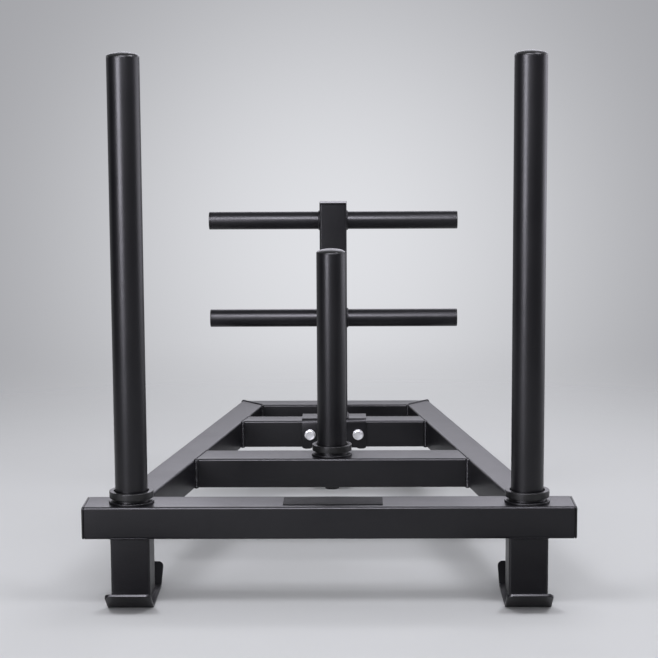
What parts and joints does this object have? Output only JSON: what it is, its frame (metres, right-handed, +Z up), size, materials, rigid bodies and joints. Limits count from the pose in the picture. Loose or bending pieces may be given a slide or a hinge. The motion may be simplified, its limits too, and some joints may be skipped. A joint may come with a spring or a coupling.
{
  "type": "push sled",
  "caption": "Welded tube push sled on turned-up skids, with plate posts, loose rubber rings at their feet and a bolted-on upright with cross handlebars.",
  "frame": {"origin": "on the floor, under the middle of the sled's length and width", "axes": "+X to the right, +Y from the wide front beam with the two tall posts towards the handlebars, +Z up"},
  "size_m": [0.752, 1.0506, 0.832],
  "materials": {
    "powder_coat": "satin black powder coat with a fine texture",
    "cap_plastic": "moulded black plastic, semi-matte",
    "ring_rubber": "matte black rubber",
    "zinc_plate": "bright zinc plate",
    "black_steel": "black oxide, slightly oily"
  },
  "bodies": {
    "sled": {"front_beam": "powder_coat", "front_beam_cap_left": "cap_plastic", "front_beam_cap_right": "cap_plastic", "left_rail": "powder_coat", "right_rail": "powder_coat", "mid_crossbar": "powder_coat", "saddle_crossbar": "powder_coat", "rear_crossbar": "powder_coat", "crossbar_bolt_left": "black_steel", "crossbar_bolt_right": "black_steel", "left_skid": "powder_coat", "right_skid": "powder_coat", "rear_skid": "powder_coat", "left_leg": "powder_coat", "right_leg": "powder_coat", "rear_leg": "powder_coat", "left_post": "powder_coat", "left_post_cap": "cap_plastic", "left_post_flange": "powder_coat", "left_post_plug": "black_steel", "left_post_bolt": "black_steel", "right_post": "powder_coat", "right_post_cap": "cap_plastic", "right_post_flange": "powder_coat", "right_post_plug": "black_steel", "right_post_bolt": "black_steel", "mid_post": "powder_coat", "mid_post_cap": "cap_plastic", "mid_post_flange": "powder_coat", "mid_post_plug": "black_steel", "mid_post_bolt": "black_steel", "saddle_bracket": "powder_coat", "saddle_bolt_left": "zinc_plate", "saddle_bolt_right": "zinc_plate", "saddle_nut_left": "zinc_plate", "saddle_nut_right": "zinc_plate", "saddle_washer_front_left": "zinc_plate", "saddle_washer_front_right": "zinc_plate", "saddle_washer_rear_left": "zinc_plate", "saddle_washer_rear_right": "zinc_plate", "upright": "powder_coat", "upright_cap": "cap_plastic", "lower_handlebar": "powder_coat", "lower_handlebar_cap_left": "cap_plastic", "lower_handlebar_cap_right": "cap_plastic", "upper_handlebar": "powder_coat", "upper_handlebar_cap_left": "cap_plastic", "upper_handlebar_cap_right": "cap_plastic"},
    "left_ring": {"left_post_ring": "ring_rubber"},
    "right_ring": {"right_post_ring": "ring_rubber"},
    "mid_ring": {"mid_post_ring": "ring_rubber"}
  },
  "joints": [
    {"name": "left_ring_slide", "type": "slide", "parent": "sled", "child": "left_ring", "axis": [0, 0, 1], "range_m": [0, 0.68]},
    {"name": "right_ring_slide", "type": "slide", "parent": "sled", "child": "right_ring", "axis": [0, 0, 1], "range_m": [0, 0.68]},
    {"name": "mid_ring_slide", "type": "slide", "parent": "sled", "child": "mid_ring", "axis": [0, 0, 1], "range_m": [0, 0.35]}
  ]
}
